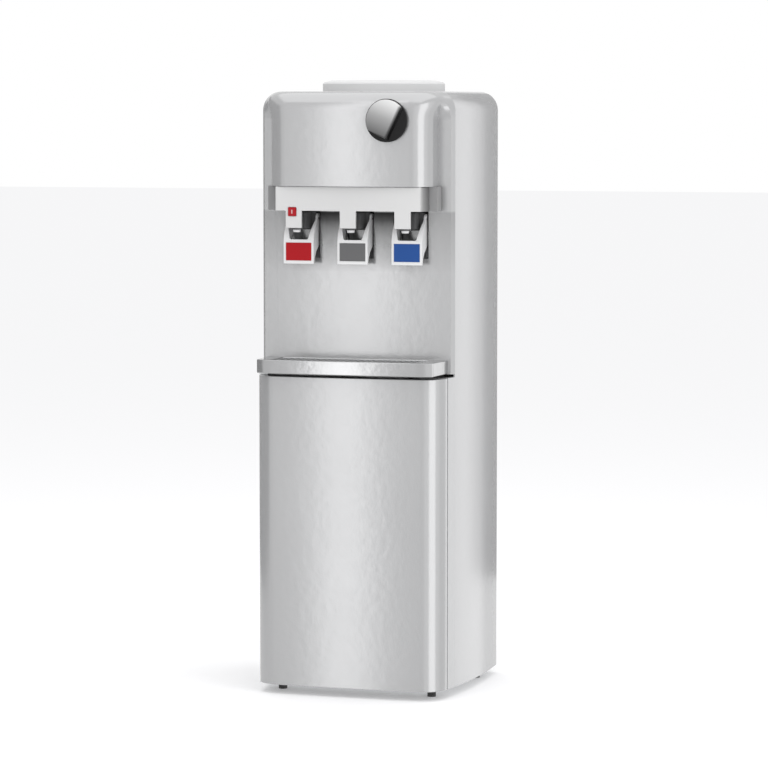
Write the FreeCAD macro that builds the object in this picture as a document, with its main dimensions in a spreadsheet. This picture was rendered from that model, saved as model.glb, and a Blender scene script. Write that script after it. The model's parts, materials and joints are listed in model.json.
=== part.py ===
import FreeCAD, Part
import math
import os
import re
import Sketcher

V = FreeCAD.Vector
doc = FreeCAD.newDocument("water_dispenser")

# Millimetres and degrees. X to the viewer's right, the front faces -Y, Z up from the floor.
sizes = {
    # Housing
    "wall": 2.5,
    "foot_high": 15,
    "top_z": 951,
    "seam_x": 158.5,
    "seam_y": -80,
    "side_bow": 980,
    "rear_x": 163.1,
    "back_y": 163,
    "rear_round": 20,
    "top_round": 30,
    "opening_x": 135,
    "opening_low": 60,
    "opening_high": 905,
    "bottle_y": 54,
    "seat_hole": 92,
    # Head and bay
    "cover_low": 510,
    "margin_x": 140.4,
    "margin_y": -127.6,
    "margin_edge": 4,
    "bulge_low": 803.5,
    "bulge_x": 125.6,
    "bulge_corner": 22,
    "bulge_y": -144,
    "bulge_bow": 1600,
    "bulge_turn_x": 101,
    "bulge_turn_y": -140.81,
    "bulge_turn": 34,
    "brow": 28,
    "groove_x": 132.4,
    "groove_end_x": 139,
    "groove_y": -112.8,
    "groove_high": 921,
    "inside_x": 115,
    "inside_y": -133.9,
    "front_bow": 2250,
    "bay_high": 765,
    "bay_x": 128,
    "bay_mouth_x": 138,
    "bay_y": -88,
    "niche_x": 28.5,
    "niche_low": 690,
    "niche_y": -68,
    "tap_gap": 89,
    # Control strip with its three tongues
    "bar_y": -136,
    "bar_high": 802.8,
    "bar_x": 118.7,
    "bar_root_x": 125.9,
    "bar_return": 8.4,
    "tongue_wide": 26,
    "tongue_low": 738,
    "tongue_deep": 5,
    "button_x": -91,
    "button_z": 763.5,
    "button_wide": 13,
    "button_high": 13.4,
    # Taps and levers
    "tap_z": 750,
    "tap_high": 762,
    "tap_low": 737,
    "tap_half": 21.2,
    "tap_nose_half": 14,
    "plate_low": 733.5,
    "plate_high": 764.5,
    "plate_y": -71.5,
    "nozzle": 9,
    "nozzle_y": -119,
    "nozzle_low": 735,
    "spout_low": 731,
    "shank": 8,
    "pivot_y": -84,
    "pivot_z": 752,
    "pivot_pin": 1.95,
    "lever_half": 24.8,
    "lever_skin": 3,
    "lever_y": -111,
    "lever_low": 681,
    "lever_bend_z": 716,
    "lever_bend": 62,
    "lever_eye": 8,
    "notch_half": 16,
    "notch_z": 719,
    "notch_open_z": 748,
    "insert_wide": 42,
    "insert_high": 28,
    "insert_z": 700,
    "insert_sink": 1.2,
    # Shelf and drip tray
    "shelf_y": -163,
    "shelf_high": 532,
    "shelf_x": 130,
    "shelf_turn_y": -159.24,
    "shelf_end_x": 144.5,
    "shelf_end_y": -153.4,
    "shelf_back_x": 147.9,
    "shelf_back_y": -107.2,
    "shelf_tail_x": 126,
    "tray_x": 121,
    "tray_front": -157.5,
    "tray_back": -95,
    "tray_floor": 514,
    "tray_wall": 2,
    "grille_z": 528.4,
    "grille_thick": 2.2,
    "slot_wide": 4,
    "slot_pitch": 9,
    # Door and cabinet
    "door_low": 15,
    "door_high": 505,
    "door_turn_x": 119.9,
    "door_turn_y": -144.9,
    "door_turn": 36,
    "door_side_x": 153.6,
    "door_side_y": -114.2,
    "door_back_x": 154.6,
    "door_back_y": -107.2,
    "hinge_x": -151.6,
    "hinge_y": -110.4,
    "hinge_pin": 1.5,
    "frame_y": -105.7,
    "frame_x": 154.8,
    "frame_high": 505.5,
    "cabinet_x": 128,
    "cabinet_low": 205,
    "cabinet_high": 478,
    "cabinet_deep": 200,
    # Knob
    "knob_x": 67,
    "knob_z": 906,
    "knob_y": -144.3,
    "knob": 33.5,
    "knob_tall": 16.5,
    "gland_x": 90,
    "gland_z": 222,
    "knob_low": 4.5,
    "knob_cap": 32.2,
    "knob_ridge": 12.6,
    "knob_turn": -25.6,
    "shaft": 3,
}

sheet = doc.addObject("Spreadsheet::Sheet", "Sizes")
for row, (name, size) in enumerate(sizes.items(), 1):
    sheet.set("A%d" % row, name)
    sheet.set("B%d" % row, str(size))
    sheet.setAlias("B%d" % row, name)
doc.recompute()
words = re.compile(r"\b(%s)\b" % "|".join(sizes))


def bound(text):
    return words.sub(r"Sizes.\1", str(text))


def value(text):
    return float(sheet.evalExpression(bound(text)))


def bind(thing, field, text):
    if words.search(str(text)):
        thing.setExpression(field, bound(text))
    elif field == "Length" or field == "Radius" or field == "Value":
        setattr(thing, field, value(text))


def newBody(label, at=(0, 0, 0), turn=None):
    body = doc.addObject("PartDesign::Body", label)
    body.Label = label
    body.Placement = FreeCAD.Placement(V(*[value(a) for a in at]), turn or FreeCAD.Rotation())
    for axis, text in zip("xyz", at):
        if words.search(str(text)):
            body.setExpression("Placement.Base." + axis, bound(text))
    return body


def arcBetween(p, q, radius, left):
    dx, dy = q[0] - p[0], q[1] - p[1]
    chord = math.hypot(dx, dy)
    rise = math.sqrt(max(radius * radius - chord * chord / 4, 0))
    side = 1 if left else -1
    cx = (p[0] + q[0]) / 2 - side * dy / chord * rise
    cy = (p[1] + q[1]) / 2 + side * dx / chord * rise
    first = math.atan2(p[1] - cy, p[0] - cx)
    last = math.atan2(q[1] - cy, q[0] - cx)
    if not left:
        first, last = last, first
    if last <= first:
        last += 2 * math.pi
    return Part.ArcOfCircle(Part.Circle(V(cx, cy, 0), V(0, 0, 1), radius), first, last)


def holdPoint(sketch, edge, end, x, y):
    for kind, text, axis in (("DistanceX", x, -2), ("DistanceY", y, -1)):
        if abs(value(text)) < 1e-6:
            sketch.addConstraint(Sketcher.Constraint("PointOnObject", edge, end, axis))
        else:
            row = sketch.addConstraint(Sketcher.Constraint(kind, -1, 1, edge, end, value(text)))
            if words.search(str(text)):
                sketch.setExpression("Constraints[%d]" % row, bound(text))


def holdRadius(sketch, edge, radius):
    row = sketch.addConstraint(Sketcher.Constraint("Radius", edge, value(radius)))
    if words.search(str(radius)):
        sketch.setExpression("Constraints[%d]" % row, bound(radius))


def drawLoop(sketch, steps):
    # A step is (x, y) for a straight edge that ends there, or (x, y, radius, side) for an arc.
    points = [(value(step[0]), value(step[1])) for step in steps]
    edges, starts, ends = [], [], []
    for i, p in enumerate(points):
        bend = steps[(i + 1) % len(steps)][2:]
        q = points[(i + 1) % len(steps)]
        if bend:
            left = bend[1] == "left"
            edges.append(sketch.addGeometry(arcBetween(p, q, value(bend[0]), left), False))
        else:
            left = True
            edges.append(sketch.addGeometry(Part.LineSegment(V(*p, 0), V(*q, 0)), False))
        starts.append(1 if left else 2)
        ends.append(2 if left else 1)
    for i, step in enumerate(steps):
        joint = Sketcher.Constraint("Coincident", edges[i - 1], ends[i - 1], edges[i], starts[i])
        sketch.addConstraint(joint)
        holdPoint(sketch, edges[i], starts[i], step[0], step[1])
        bend = steps[(i + 1) % len(steps)][2:]
        if bend:
            holdRadius(sketch, edges[i], bend[0])


def drawCircle(sketch, x, y, radius):
    circle = Part.Circle(V(value(x), value(y), 0), V(0, 0, 1), value(radius))
    edge = sketch.addGeometry(circle, False)
    holdPoint(sketch, edge, 3, x, y)
    holdRadius(sketch, edge, radius)


def bothSides(half, across=()):
    # Mirrors the steps of the right half in X. across is the bend of the edge that crosses the middle.
    steps = list(half)
    for i in range(len(half) - 1, -1, -1):
        bend = across if i == len(half) - 1 else half[i + 1][2:]
        steps.append(("-(%s)" % half[i][0], half[i][1]) + tuple(bend))
    return steps


def rectangle(x0, x1, y0, y1):
    return [(x0, y0), (x1, y0), (x1, y1), (x0, y1)]


planes = {"top": "XY_Plane", "front": "XZ_Plane", "side": "YZ_Plane"}


def sketchOn(body, plane, at, *loops):
    # A loop is a list of steps, or a tuple (x, y, radius) for a circle.
    sketch = body.newObject("Sketcher::SketchObject", body.Label + "_outline")
    origin = [f for f in body.Origin.OriginFeatures if f.Role == planes[plane]][0]
    sketch.AttachmentSupport = [(origin, "")]
    sketch.MapMode = "FlatFace"
    lift = "-(%s)" % at if plane == "front" else str(at)
    sketch.AttachmentOffset = FreeCAD.Placement(V(0, 0, value(lift)), FreeCAD.Rotation())
    if words.search(lift):
        sketch.setExpression("AttachmentOffset.Base.z", bound(lift))
    for loop in loops:
        if isinstance(loop, tuple):
            drawCircle(sketch, *loop)
        else:
            drawLoop(sketch, loop)
    return sketch


def extrude(kind, body, sketch, length, way="forward"):
    feature = body.newObject("PartDesign::" + kind, body.Label + "_" + kind.lower())
    feature.Profile = sketch
    bind(feature, "Length", length)
    feature.Reversed = way == "back"
    if way == "middle":
        feature.SideType = "Symmetric"
    sketch.Visibility = False
    doc.recompute()
    return feature


def pad(body, plane, at, length, way, *loops):
    return extrude("Pad", body, sketchOn(body, plane, at, *loops), length, way)


def pocket(body, plane, at, length, way, *loops):
    return extrude("Pocket", body, sketchOn(body, plane, at, *loops), length, way)


def revolve(body, plane, axis, steps, kind="Revolution"):
    sketch = sketchOn(body, plane, 0, steps)
    feature = body.newObject("PartDesign::" + kind, body.Label + "_turned")
    feature.Profile = sketch
    feature.ReferenceAxis = (sketch, [axis])
    feature.Angle = 360
    doc.recompute()
    return feature


def edgesOf(feature, test):
    return ["Edge%d" % (i + 1) for i, e in enumerate(feature.Shape.Edges) if test(e.BoundBox)]


def facesOf(feature, test):
    return ["Face%d" % (i + 1) for i, f in enumerate(feature.Shape.Faces) if test(f.BoundBox)]


def dress(kind, body, feature, field, size, names):
    done = body.newObject("PartDesign::" + kind, body.Label + "_" + kind.lower())
    done.Base = (feature, names)
    bind(done, field, size)
    doc.recompute()
    return done


def hollow(body, feature, names):
    shell = dress("Thickness", body, feature, "Value", "wall", names)
    shell.Reversed = True
    shell.Join = 0
    doc.recompute()
    return shell


# Rear shell: plan outline drawn out to full height, two fillets, then hollow with front and base open.
shell = newBody("rear_shell")
block = pad(shell, "top", "foot_high", "top_z - foot_high", "forward", bothSides([
    ("seam_x", "seam_y"),
    ("rear_x", "back_y", "side_bow", "left"),
]))
topEdges = edgesOf(block, lambda b: b.ZMin > value("top_z") - 1 and abs(b.XMax + b.XMin) > 300 and b.YLength > 50)
block = dress("Fillet", shell, block, "Radius", "top_round", topEdges)
rearEdges = edgesOf(block, lambda b: b.YMin > value("back_y") - 0.1 and b.ZMax > 20)
block = dress("Fillet", shell, block, "Radius", "rear_round", rearEdges)
openFaces = facesOf(block, lambda b: b.ZMax < value("foot_high") + 0.1 or b.YMax < value("seam_y") + 0.1)
hollow(shell, block, openFaces)
pocket(shell, "front", "back_y", 20, "middle", rectangle("-opening_x", "opening_x", "opening_low", "opening_high"))
pocket(shell, "top", "top_z", 20, "middle", (0, "bottle_y", "seat_hole"))

# Front cover: head, side columns and the recessed wall of the dispensing bay in one moulding.
cover = newBody("front_cover")
block = pad(cover, "top", "cover_low", "top_z - cover_low", "forward", bothSides([
    ("seam_x", "seam_y"),
    ("margin_x", "margin_y"),
]))
topEdges = edgesOf(block, lambda b: b.ZMin > value("top_z") - 1 and b.YLength > 20)
block = dress("Fillet", cover, block, "Radius", "top_round", topEdges)
frontEdges = edgesOf(block, lambda b: b.YMax < value("margin_y") + 0.1 and b.ZLength > 300)
block = dress("Fillet", cover, block, "Radius", "margin_edge", frontEdges)
pad(cover, "front", "margin_y + 6", 30, "forward", [
    ("-bulge_x", "bulge_low"),
    ("bulge_x", "bulge_low"),
    ("bulge_x", "top_z - bulge_corner"),
    ("bulge_x - bulge_corner", "top_z", "bulge_corner", "left"),
    ("bulge_corner - bulge_x", "top_z"),
    ("-bulge_x", "top_z - bulge_corner", "bulge_corner", "left"),
])
pocket(cover, "top", "top_z + 1", "top_z - bulge_low + 2", "forward", bothSides([
    ("bulge_x + 9", "margin_y - 40"),
    ("bulge_x + 9", "margin_y - 0.3"),
    ("bulge_x", "margin_y - 0.3"),
    ("bulge_turn_x", "bulge_turn_y", "bulge_turn", "right"),
], ("bulge_bow", "right")))
pocket(cover, "side", 0, 400, "middle", [
    ("bulge_y - 20", "top_z - brow"),
    ("bulge_y", "top_z - brow"),
    ("bulge_y + brow", "top_z", "brow", "right"),
    ("bulge_y + brow", "top_z + 10"),
    ("bulge_y - 20", "top_z + 10"),
])
# A groove on each side of the head, and below it the space beside the control strip.
for side in ("", "-"):
    bend = "right" if side else "left"
    pocket(cover, "top", "groove_high", "groove_high - bulge_low", "forward", [
        (side + "groove_x", "groove_y", "bulge_turn", bend),
        (side + "groove_end_x", "groove_y"),
        (side + "groove_end_x", "margin_y - 1"),
        (side + "bulge_x", "margin_y - 1"),
        (side + "bulge_x", "margin_y - 0.3"),
    ])
    pocket(cover, "top", "bulge_low", "bulge_low - bay_high", "forward", rectangle(
        side + "(bar_root_x - bar_return)", side + "groove_end_x", "margin_y - 1", "groove_y"))
# The space inside, first behind the bay and then in the head.
mouth = ("seam_x - wall * 0.9", "seam_y + 1")
cheek = ("bay_x + wall * 1.03", "bay_y + wall", "front_bow - wall", "left")
pocket(cover, "top", "shelf_high + 0.3", 40, "forward",
       rectangle("-seam_x", "seam_x", "margin_y - 20", "shelf_back_y + 0.5"))
pocket(cover, "top", "bay_high + 5", "bay_high - shelf_high + 2", "forward",
       bothSides([cheek, ("margin_x - 0.96", "margin_y + 4.5"), mouth]))
pocket(cover, "top", "shelf_high + 6", "shelf_high - cover_low + 6 - wall", "forward",
       bothSides([cheek, ("bay_x + 6.7", "margin_y + 23.4"), ("margin_x + 6.2", "margin_y + 23.4"), mouth]))
headInside = bothSides([
    mouth,
    ("margin_x + 3.8", "groove_y + wall"),
    ("inside_x", "groove_y + wall"),
    ("inside_x", "margin_y + wall"),
])
pocket(cover, "top", "top_z - top_round", "top_z - top_round - bay_high - wall", "forward", headInside)
pocket(cover, "top", "top_z - wall - 2", "top_round", "forward",
       rectangle("top_round - margin_x", "margin_x - top_round", "margin_y + wall", "seam_y + 1"))
pocket(cover, "top", "top_z - brow", "top_z - brow - bulge_low - wall", "forward", bothSides([
    ("inside_x", "margin_y + 5"),
    ("inside_x", "inside_y"),
    ("bulge_turn_x - 0.15", "bulge_turn_y + wall", "bulge_turn - wall", "right"),
], ("bulge_bow", "right")))
# The bay with its bowed wall and a niche for each tap.
taps = ("-tap_gap", "0", "tap_gap")
niches = [rectangle("%s - niche_x - wall" % x, "%s + niche_x + wall" % x, "niche_low - wall", "bay_high + wall")
          for x in taps]
pad(cover, "front", "bay_y - 5", "niche_y - bay_y + wall + 5", "back", *niches)
pocket(cover, "top", "bay_high", "bay_high - cover_low + 5", "forward", bothSides([
    ("bay_x", "bay_y", "front_bow", "left"),
    ("bay_mouth_x", "margin_y"),
    ("bay_mouth_x", "margin_y - 20"),
]))
niches = [rectangle("%s - niche_x" % x, "%s + niche_x" % x, "niche_low", "bay_high") for x in taps]
pocket(cover, "front", "bay_y - 5", "niche_y - bay_y + 5", "forward", *niches)
pocket(cover, "front", "niche_y", 10, "middle", *[(x, "tap_z", "shank + 0.2") for x in taps])
pocket(cover, "front", "bulge_y", 12, "middle", ("knob_x", "knob_z", "shaft + 3"))

# Control strip across the front of the head.
bar = newBody("control_bar")
pad(bar, "top", "bay_high", "bar_high - bay_high", "forward", bothSides([
    ("bar_root_x - bar_return + 0.2", "margin_y - 0.1"),
    ("bar_root_x - bar_return + 0.2", "groove_y - 0.1"),
    ("bar_root_x", "groove_y - 0.1"),
    ("bar_x", "bar_y"),
]))
pad(bar, "front", "bar_y", "tongue_deep", "back",
    *[rectangle("%s - tongue_wide / 2" % x, "%s + tongue_wide / 2" % x, "tongue_low", "bay_high + 4") for x in taps])
pocket(bar, "front", "bar_y - 1", 12, "forward", rectangle(
    "button_x - button_wide / 2 - 0.2", "button_x + button_wide / 2 + 0.2",
    "button_z - button_high / 2 - 0.2", "button_z + button_high / 2 + 0.2"))

button = newBody("child_lock_button")
block = pad(button, "front", "bar_y - 1.5", 5.5, "back", rectangle(
    "button_x - button_wide / 2", "button_x + button_wide / 2",
    "button_z - button_high / 2", "button_z + button_high / 2"))
dress("Fillet", button, block, "Radius", 0.8, edgesOf(block, lambda b: b.YMax < value("bar_y") - 1))

# Shelf with its drip tray and grille.
shelf = newBody("shelf")
block = pad(shelf, "top", "cover_low + 0.3", "shelf_high - cover_low - 0.3", "forward", bothSides([
    ("shelf_tail_x", "bay_y - 0.5", "front_bow", "left"),
    ("shelf_tail_x", "shelf_back_y"),
    ("shelf_back_x", "shelf_back_y"),
    ("shelf_end_x", "shelf_end_y"),
    ("shelf_x", "shelf_turn_y"),
], ("front_bow", "right")))
rim = edgesOf(block, lambda b: b.ZMin > value("shelf_high") - 0.1 and b.YMax < value("shelf_end_y") + 0.1)
dress("Fillet", shelf, block, "Radius", 1.5, rim)
pocket(shelf, "top", "shelf_high", "shelf_high - tray_floor", "forward",
       rectangle("-tray_x", "tray_x", "tray_front", "tray_back"))

tray = newBody("drip_tray")
pad(tray, "top", "tray_floor + 0.2", "shelf_high - tray_floor - 1.4", "forward",
    rectangle("0.4 - tray_x", "tray_x - 0.4", "tray_front + 0.4", "tray_back - 0.4"))
pocket(tray, "top", "shelf_high", "shelf_high - tray_floor - tray_wall", "forward", rectangle(
    "0.4 - tray_x + tray_wall", "tray_x - 0.4 - tray_wall",
    "tray_front + 0.4 + tray_wall", "tray_back - 0.4 - tray_wall"))

grille = newBody("drip_grille")
pad(grille, "top", "grille_z", "grille_thick", "forward", rectangle(
    "0.8 - tray_x + tray_wall", "tray_x - 0.8 - tray_wall",
    "tray_front + 0.8 + tray_wall", "tray_back - 0.8 - tray_wall"))
for leg in ("tray_x - 10", "-(tray_x - 10)"):
    pad(grille, "top", "tray_floor + tray_wall + 0.4", "grille_z - tray_floor - tray_wall", "forward",
        rectangle("%s - 2" % leg, "%s + 2" % leg, "-130", "-120"))
slot = pocket(grille, "top", "grille_z", 10, "middle", rectangle("-112", "-108", "-151", "-101"))
row = grille.newObject("PartDesign::LinearPattern", "grille_slots")
row.Originals = [slot]
row.Direction = (slot.Profile[0], ["H_Axis"])
row.Length = 216
row.Occurrences = 25
grille.Tip = row
doc.recompute()

# Front frame round the cabinet opening.
frame = newBody("front_frame")
pad(frame, "top", "foot_high", "frame_high - foot_high", "forward", bothSides([
    ("seam_x", "seam_y"),
    ("frame_x", "frame_y"),
]))
block = pocket(frame, "front", "frame_y", 80, "middle",
               rectangle("-cabinet_x", "cabinet_x", "cabinet_low", "cabinet_high"))
hollow(frame, block, facesOf(block, lambda b: b.YMin > value("seam_y") - 0.1))

liner = newBody("cabinet_liner")
pad(liner, "front", "frame_y + 0.5", "cabinet_deep", "back", rectangle(
    "0.3 - cabinet_x", "cabinet_x - 0.3", "cabinet_low + 0.3", "cabinet_high - 0.3"))
pocket(liner, "front", "frame_y", "cabinet_deep - wall", "forward", rectangle(
    "0.3 - cabinet_x + wall", "cabinet_x - 0.3 - wall",
    "cabinet_low + 0.3 + wall", "cabinet_high - 0.3 - wall"))

# Door with its inner panel and gasket.
door = newBody("door")
pad(door, "top", "door_low", "door_high - door_low", "forward", bothSides([
    ("door_back_x", "door_back_y"),
    ("door_side_x", "door_side_y"),
    ("door_turn_x", "door_turn_y", "door_turn", "right"),
], ("front_bow", "right")))
pocket(door, "top", "door_high - wall", "door_high - door_low - wall * 2", "forward", bothSides([
    ("door_back_x - wall", "door_back_y + 1"),
    ("door_side_x - wall", "door_side_y"),
    ("door_turn_x", "door_turn_y + wall", "door_turn - wall", "right"),
], ("front_bow", "right")))
for low in ("door_low + wall", "door_high - wall - 14"):
    pad(door, "top", low, 14, "forward", rectangle("hinge_x - 1", "hinge_x + 6", "hinge_y - 4", "door_back_y - 2.2"))
for low in ("door_low", "door_high"):
    pocket(door, "top", low, 30, "middle", ("hinge_x", "hinge_y", "hinge_pin + 0.05"))

panel = newBody("door_liner")
block = pad(panel, "front", "door_back_y - 2", 2, "back",
            rectangle("-148", "148", "door_low + wall + 0.3", "door_high - wall - 0.3"))

gasket = newBody("door_gasket")
pad(gasket, "front", "door_back_y", 1.2, "back",
    rectangle("-140", "140", "cabinet_low - 12", "cabinet_high + 12"),
    rectangle("-132", "132", "cabinet_low - 4", "cabinet_high + 4"))

hinges = newBody("door_hinges")
plateLoop = rectangle("hinge_x - 3", "hinge_x + 12", "hinge_y - 3.5", "frame_y + 12")
pad(hinges, "top", "frame_high", 2, "forward", plateLoop)
pad(hinges, "top", "frame_high", 11, "back", ("hinge_x", "hinge_y", "hinge_pin"))
lower = newBody("door_hinge_lower")
pad(lower, "top", "foot_high - 0.5", 2, "back", plateLoop)
pad(lower, "top", "foot_high - 0.5", 11, "forward", ("hinge_x", "hinge_y", "hinge_pin"))


def leverAt(name, x):
    lever = newBody("lever_" + name, at=(x, 0, 0))
    front = "lever_y"
    eyeFront = "pivot_y - lever_eye"
    pad(lever, "side", 0, "lever_half * 2", "middle", [
        (front, "lever_low"),
        (front + " + lever_skin", "lever_low"),
        (front + " + lever_skin * 2", "lever_low + 9"),
        ("pivot_y - 15", "lever_low + 18"),
        ("pivot_y + 4", "lever_low + 31"),
        ("pivot_y + lever_eye", "lever_low + 44"),
        ("pivot_y + lever_eye", "pivot_z"),
        ("pivot_y", "pivot_z + lever_eye", "lever_eye", "left"),
        (eyeFront, "pivot_z", "lever_eye", "left"),
        (front, "lever_bend_z", "lever_bend", "left"),
    ])
    pocket(lever, "side", 0, "(lever_half - lever_skin) * 2", "middle", [
        ("lever_y + lever_skin", "lever_low - 5"),
        ("pivot_y + 30", "lever_low - 5"),
        ("pivot_y + 30", "pivot_z + 20"),
        ("pivot_y - lever_eye + lever_skin", "pivot_z + 20"),
        ("pivot_y - lever_eye + lever_skin", "pivot_z"),
        ("lever_y + lever_skin", "lever_bend_z", "lever_bend - lever_skin", "left"),
    ])
    pocket(lever, "front", "pivot_y", 100, "middle", [
        ("4 - notch_half", "notch_z", 4, "left"),
        ("notch_half - 4", "notch_z"),
        ("notch_half", "notch_z + 4", 4, "left"),
        ("lever_half - lever_skin", "notch_open_z"),
        ("lever_half - lever_skin", "notch_z + 60"),
        ("lever_skin - lever_half", "notch_z + 60"),
        ("lever_skin - lever_half", "notch_open_z"),
        ("-notch_half", "notch_z + 4"),
    ])
    pocket(lever, "front", "lever_y", "insert_sink", "forward", rectangle(
        "-insert_wide / 2 - 0.1", "insert_wide / 2 + 0.1",
        "insert_z - insert_high / 2 - 0.1", "insert_z + insert_high / 2 + 0.1"))
    pocket(lever, "side", 0, 100, "middle", ("pivot_y", "pivot_z", "pivot_pin + 0.05"))

    insert = newBody("insert_" + name, at=(x, 0, 0))
    block = pad(insert, "front", "lever_y + insert_sink", "insert_sink + 0.8", "forward", rectangle(
        "-insert_wide / 2", "insert_wide / 2", "insert_z - insert_high / 2", "insert_z + insert_high / 2"))
    dress("Fillet", insert, block, "Radius", 0.6, edgesOf(block, lambda b: b.YMax < value("lever_y") - 0.7))

    tap = newBody("tap_body_" + name, at=(x, 0, "tap_z"))
    pad(tap, "front", "plate_y", 31.5, "back", (0, 0, "shank"))
    pad(tap, "front", "plate_y", "niche_y - 0.1 - plate_y", "back",
        rectangle("0.5 - niche_x", "niche_x - 0.5", "plate_low - tap_z", "plate_high - tap_z"))
    pad(tap, "front", "plate_y", 16.5, "forward",
        rectangle("-tap_half", "tap_half", "tap_low - tap_z", "tap_high - tap_z"))
    pad(tap, "front", "plate_y - 16", "plate_y - 16 - nozzle_y - 4", "forward",
        rectangle("-tap_nose_half", "tap_nose_half", "tap_low - tap_z", "tap_high - tap_z"))
    pad(tap, "top", "tap_high - tap_z", "tap_high - nozzle_low", "back", (0, "nozzle_y", "nozzle"))
    pad(tap, "side", 0, "lever_half * 2 - 0.4", "middle", ("pivot_y", "pivot_z - tap_z", "pivot_pin"))
    pocket(tap, "top", "nozzle_low - tap_z", 22, "back", (0, "nozzle_y", 5))
    pocket(tap, "front", "-39", "-39 - nozzle_y", "back", (0, 0, 3))

    plunger = newBody("plunger_" + name, at=(x, 0, "tap_z"))
    pad(plunger, "top", -8, 10, "forward", (0, "nozzle_y", 4.9))

    spout = newBody("spout_" + name, at=(x, "nozzle_y", "spout_low"))
    rim = "nozzle_low - spout_low"
    revolve(spout, "front", "V_Axis", [
        (3.8, 0), (5.4, 0), (6.2, rim), (4.9, rim), (4.9, rim + " + 4"), (3.8, rim + " + 4"),
    ])


for name, x in zip(("hot", "normal", "cold"), taps):
    leverAt(name, x)

# Hexagonal nuts that hold the taps from behind.
nuts = newBody("tap_nuts")
flat = 13
corner = flat / math.cos(math.radians(30))
for x in taps:
    hexagon = [("%s + %s" % (x, round(corner * math.cos(math.radians(60 * i)), 3)),
                "tap_z + %s" % round(corner * math.sin(math.radians(60 * i)), 3)) for i in range(6)]
    pad(nuts, "front", "niche_y + wall + 0.1", 7, "back", hexagon, (x, "tap_z", "shank + 0.05"))

# Knob: a dark disc under a cap with a sloping face, a steep side beyond its ridge and a lower step.
knobTurn = FreeCAD.Rotation(V(1, 0, 0), 90).multiply(FreeCAD.Rotation(V(0, 0, 1), value("knob_turn")))
knob = newBody("knob", at=("knob_x", "knob_y", "knob_z"), turn=knobTurn)
revolve(knob, "front", "V_Axis", [
    (0, 0),
    ("knob", 0),
    ("knob", "knob_low - 0.8"),
    ("knob - 0.8", "knob_low"),
    (0, "knob_low"),
])
pocket(knob, "top", 0, "knob_low - 2", "back", (0, 0, "shaft"))
cap = newBody("knob_cap", at=("knob_x", "knob_y", "knob_z"), turn=knobTurn)
revolve(cap, "front", "V_Axis", [
    (0, "knob_low + 0.1"),
    ("knob_cap", "knob_low + 0.1"),
    ("knob_cap", "knob_tall"),
    (0, "knob_tall"),
])
pocket(cap, "front", 0, 100, "middle", [
    ("-knob - 5", "knob_low + 0.4"),
    ("knob_ridge", "knob_tall"),
    ("knob_ridge + 4", "knob_low - 0.5"),
    ("knob + 5", "knob_low - 0.5"),
    ("knob + 5", "knob_tall + 10"),
    ("-knob - 5", "knob_tall + 10"),
])
pocket(cap, "side", 0, 100, "middle", [
    ("-22.4", "knob_tall"),
    ("-27", "knob_low - 0.5"),
    ("-knob - 5", "knob_low - 0.5"),
    ("-knob - 5", "knob_tall + 10"),
    ("-22.4", "knob_tall + 10"),
])

shaftBody = newBody("thermostat_shaft", at=("knob_x", "knob_y", "knob_z"), turn=knobTurn)
pad(shaftBody, "top", "knob_low - 2", 28, "back", (0, 0, "shaft"))

thermostat = newBody("thermostat")
pad(thermostat, "front", "knob_y + 9", 30, "back", rectangle("knob_x - 22", "knob_x + 22", "knob_z - 16", "knob_z + 16"))
pocket(thermostat, "front", "knob_y + 9", 20, "forward", ("knob_x", "knob_z", "shaft + 0.05"))


def turned(label, x, y, z, steps):
    body = newBody(label, at=(x, y, z))
    revolve(body, "front", "V_Axis", steps)
    return body


# Bottle seat on top of the head.
turned("bottle_collar", 0, "bottle_y", "top_z", [
    (88, 0), (98, 0), (98, 12.5), (95.5, 15.2), (84, 18), (80.5, 18), (80.5, 15.5), (88, 13.5),
])
turned("bottle_seat", 0, "bottle_y", "top_z", [
    (34, -60), (34, -14), (80, 12), (80, 15), (77.5, 15), (29.5, -12), (29.5, -57.5), (14, -57.5), (14, -60),
])
turned("bottle_spike", 0, "bottle_y", "top_z", [
    (9.5, -92), (9.5, -61), (13.8, -61), (13.8, -57.6), (9.5, -57.6), (9.5, -6), (4, 0), (0, 0), (0, -2.5),
    (7, -8), (7, -92),
])

# Cooling and heating tanks.
turned("cold_tank", 0, "bottle_y", 700, [
    (0, 0), (66, 0), (66, 158), (12, 158), (12, 188), (9.9, 188), (9.9, 156.5), (64.5, 156.5), (64.5, 1.5),
    (0, 1.5),
])
turned("cold_tank_foam", 0, "bottle_y", 690, [
    (0, 0), (82, 0), (82, 180), (14, 180), (14, 172.5), (74, 172), (74, 9.5), (0, 9.5),
])
turned("hot_tank", 0, 40, 520, [
    (0, 0), (50, 0), (50, 134), (44, 140), (0, 140), (0, 138.5), (43, 138.5), (48.5, 133), (48.5, 1.5), (0, 1.5),
])
turned("heater_band", 0, 40, 545, [(50.1, 0), (53, 0), (53, 30), (50.1, 30)])

# Base, feet and compressor.
pan = newBody("base_pan")
pad(pan, "top", "foot_high", 25, "forward", bothSides([
    ("seam_x - wall - 0.5", "seam_y + 0.5"),
    ("rear_x - wall + 1.8", "back_y - 25", "side_bow", "left"),
    (149, "back_y - 6"),
]))
pocket(pan, "top", "foot_high + 26.5", 25, "forward", bothSides([
    ("seam_x - wall - 1.7", "seam_y + 1.7"),
    ("rear_x - wall + 0.6", "back_y - 25.4", "side_bow", "left"),
    (148.4, "back_y - 7.2"),
]))

feet = newBody("feet")
for x in (-122, 122):
    for y in (-95, 100):
        pad(feet, "top", 0, "foot_high", "forward", ("%d * 1" % (x if y < 0 else x * 1.17), y, 12.5))

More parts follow.
